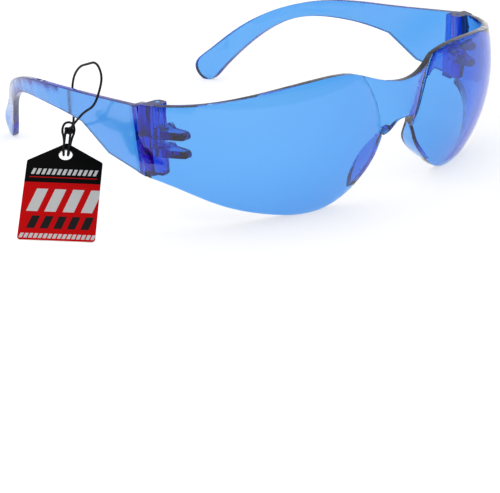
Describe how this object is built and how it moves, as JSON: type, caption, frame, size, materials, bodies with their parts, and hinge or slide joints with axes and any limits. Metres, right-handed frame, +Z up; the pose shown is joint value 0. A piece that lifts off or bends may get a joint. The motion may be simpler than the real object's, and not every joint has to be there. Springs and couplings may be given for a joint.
{
  "type": "safety glasses",
  "caption": "Frameless wraparound safety glasses: a clear blue one-piece shield with a moulded nose bridge, folding temples with hooked tips, and a hang tag on a cord.",
  "frame": {"origin": "on the surface that the glasses stand on, under the middle of the box of the glasses without the hang tag", "axes": "+X to the wearer's left, -Y to the front, +Y to the temple tips, +Z up"},
  "size_m": [0.1746, 0.148, 0.0448],
  "materials": {
    "blue_polycarbonate": "clear tinted polycarbonate, polished",
    "pin_steel": "plain drawn wire",
    "printed_card": "coated card, printed black over red",
    "black_cord": "thin black braided cord"
  },
  "bodies": {
    "shield": {"lens_shield": "blue_polycarbonate", "hinge_pin_left": "pin_steel", "hinge_pin_right": "pin_steel"},
    "left_temple": {"temple_left": "blue_polycarbonate"},
    "right_temple": {"temple_right": "blue_polycarbonate", "tag_card": "printed_card", "tag_cord_knot": "black_cord", "tag_cord": "black_cord"}
  },
  "joints": [
    {"name": "left_temple_fold", "type": "hinge", "parent": "shield", "child": "left_temple", "pos_m": [0.0622, -0.03623, 0.0251], "axis": [0, 0, 1], "range_deg": [0, 83]},
    {"name": "right_temple_fold", "type": "hinge", "parent": "shield", "child": "right_temple", "pos_m": [-0.0622, -0.03623, 0.0251], "axis": [0, 0, -1], "range_deg": [0, 74]}
  ]
}
